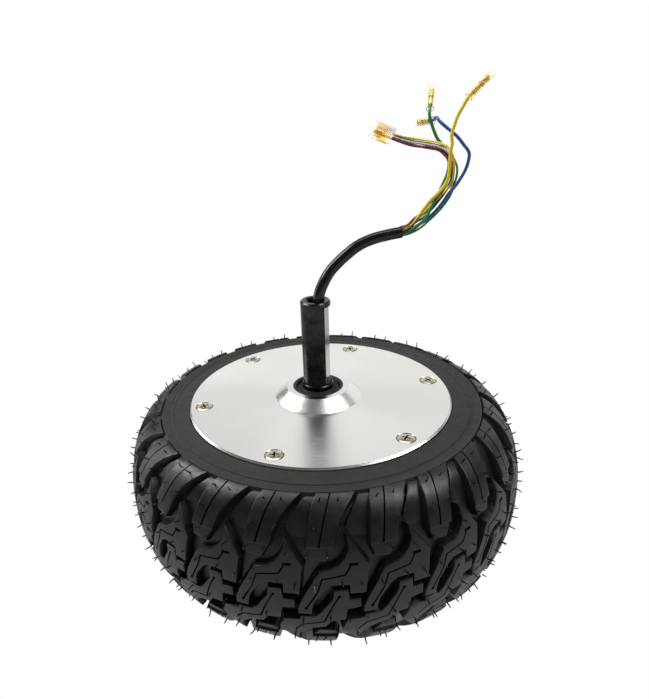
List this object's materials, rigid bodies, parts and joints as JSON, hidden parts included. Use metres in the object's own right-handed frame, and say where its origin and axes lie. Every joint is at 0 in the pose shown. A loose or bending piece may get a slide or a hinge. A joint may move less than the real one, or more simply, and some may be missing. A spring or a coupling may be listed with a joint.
{
  "type": "hub motor wheel",
  "caption": "Outrunner hub motor in a wide off-road tyre, on a hollow one-sided axle with a flat, with phase leads and a hall sensor plug on a free cable.",
  "frame": {"origin": "on the axle's centreline, at the plane of the tyre's lower side, which the wheel lies on", "axes": "+Z along the axle towards its cable end; +X out of the axle's flat"},
  "size_m": [0.218, 0.218, 0.2437],
  "materials": {
    "blackened_steel": "dark oxide, bare ground steel on the flat",
    "plain_steel": "ground",
    "laminated_steel": "satin",
    "cast_aluminium": "satin",
    "turned_aluminium": "bright lathe-turned with a fine circular grain",
    "screw_nickel": "warm nickel plate",
    "insulator_nylon": "satin",
    "copper_enamel": "enamelled copper wire",
    "circuit_board": "satin",
    "sensor_black": "satin",
    "magnet_nickel": "nickel plate",
    "cage_brass": "satin",
    "seal_rubber": "smooth",
    "tyre_rubber": "moulded rubber, satin on the blocks and matte on the sidewall",
    "cap_plastic": "satin",
    "valve_brass": "satin",
    "jacket_pvc": "smooth PVC",
    "wire_yellow": "smooth PVC",
    "wire_green": "smooth PVC",
    "wire_blue": "smooth PVC",
    "wire_red": "smooth PVC",
    "wire_black": "smooth PVC",
    "wire_white": "smooth PVC",
    "terminal_brass": "bright tinned brass",
    "clear_sleeve": "clear soft PVC",
    "connector_nylon": "natural nylon"
  },
  "bodies": {
    "stator": {"axle": "blackened_steel", "axle_circlip": "blackened_steel", "axle_key": "plain_steel", "stator_hub": "cast_aluminium", "stator_core": "laminated_steel", "near_insulator": "insulator_nylon", "far_insulator": "insulator_nylon", "winding_yellow": "copper_enamel", "winding_green": "copper_enamel", "winding_blue": "copper_enamel", "hall_board": "circuit_board", "hall_sensors": "sensor_black", "inner_cable": "jacket_pvc", "phase_leads": "wire_yellow", "near_bearing_inner_race": "plain_steel", "far_bearing_inner_race": "plain_steel", "cable_jacket": "jacket_pvc", "phase_wire_yellow": "wire_yellow", "phase_wire_green": "wire_green", "phase_wire_blue": "wire_blue", "sensor_wire_red": "wire_red", "sensor_wire_black": "wire_black", "sensor_wire_yellow": "wire_yellow", "sensor_wire_green": "wire_green", "sensor_wire_blue": "wire_blue", "sensor_wire_white": "wire_white", "terminal_yellow": "terminal_brass", "terminal_green": "terminal_brass", "terminal_blue": "terminal_brass", "sleeve_yellow": "clear_sleeve", "sleeve_green": "clear_sleeve", "sleeve_blue": "clear_sleeve", "sensor_connector": "connector_nylon", "sensor_contacts": "terminal_brass"},
    "wheel": {"rim_drum": "cast_aluminium", "flux_ring": "laminated_steel", "magnets": "magnet_nickel", "cover_plate": "turned_aluminium", "cover_seal": "seal_rubber", "cover_screws": "screw_nickel", "dust_seal": "seal_rubber", "near_bearing_outer_race": "plain_steel", "near_bearing_shields": "seal_rubber", "far_bearing_outer_race": "plain_steel", "far_bearing_shields": "seal_rubber", "tyre": "tyre_rubber", "valve_stem": "valve_brass", "valve_cap": "cap_plastic", "hub_cap": "cap_plastic"},
    "near_cage": {"near_bearing_cage": "cage_brass", "near_bearing_balls": "plain_steel"},
    "far_cage": {"far_bearing_cage": "cage_brass", "far_bearing_balls": "plain_steel"}
  },
  "joints": [
    {"name": "wheel_spin", "type": "hinge", "parent": "stator", "child": "wheel", "pos_m": [0, 0, 0.0425], "axis": [0, 0, 1], "continuous": true},
    {"name": "near_cage_spin", "type": "hinge", "parent": "stator", "child": "near_cage", "pos_m": [0, 0, 0.079], "axis": [0, 0, 1], "continuous": true},
    {"name": "far_cage_spin", "type": "hinge", "parent": "stator", "child": "far_cage", "pos_m": [0, 0, 0.0175], "axis": [0, 0, 1], "continuous": true}
  ],
  "couplings": [
    {"joint": "near_cage_spin", "follows": "wheel_spin", "ratio": 0.5915},
    {"joint": "far_cage_spin", "follows": "wheel_spin", "ratio": 0.5915}
  ]
}
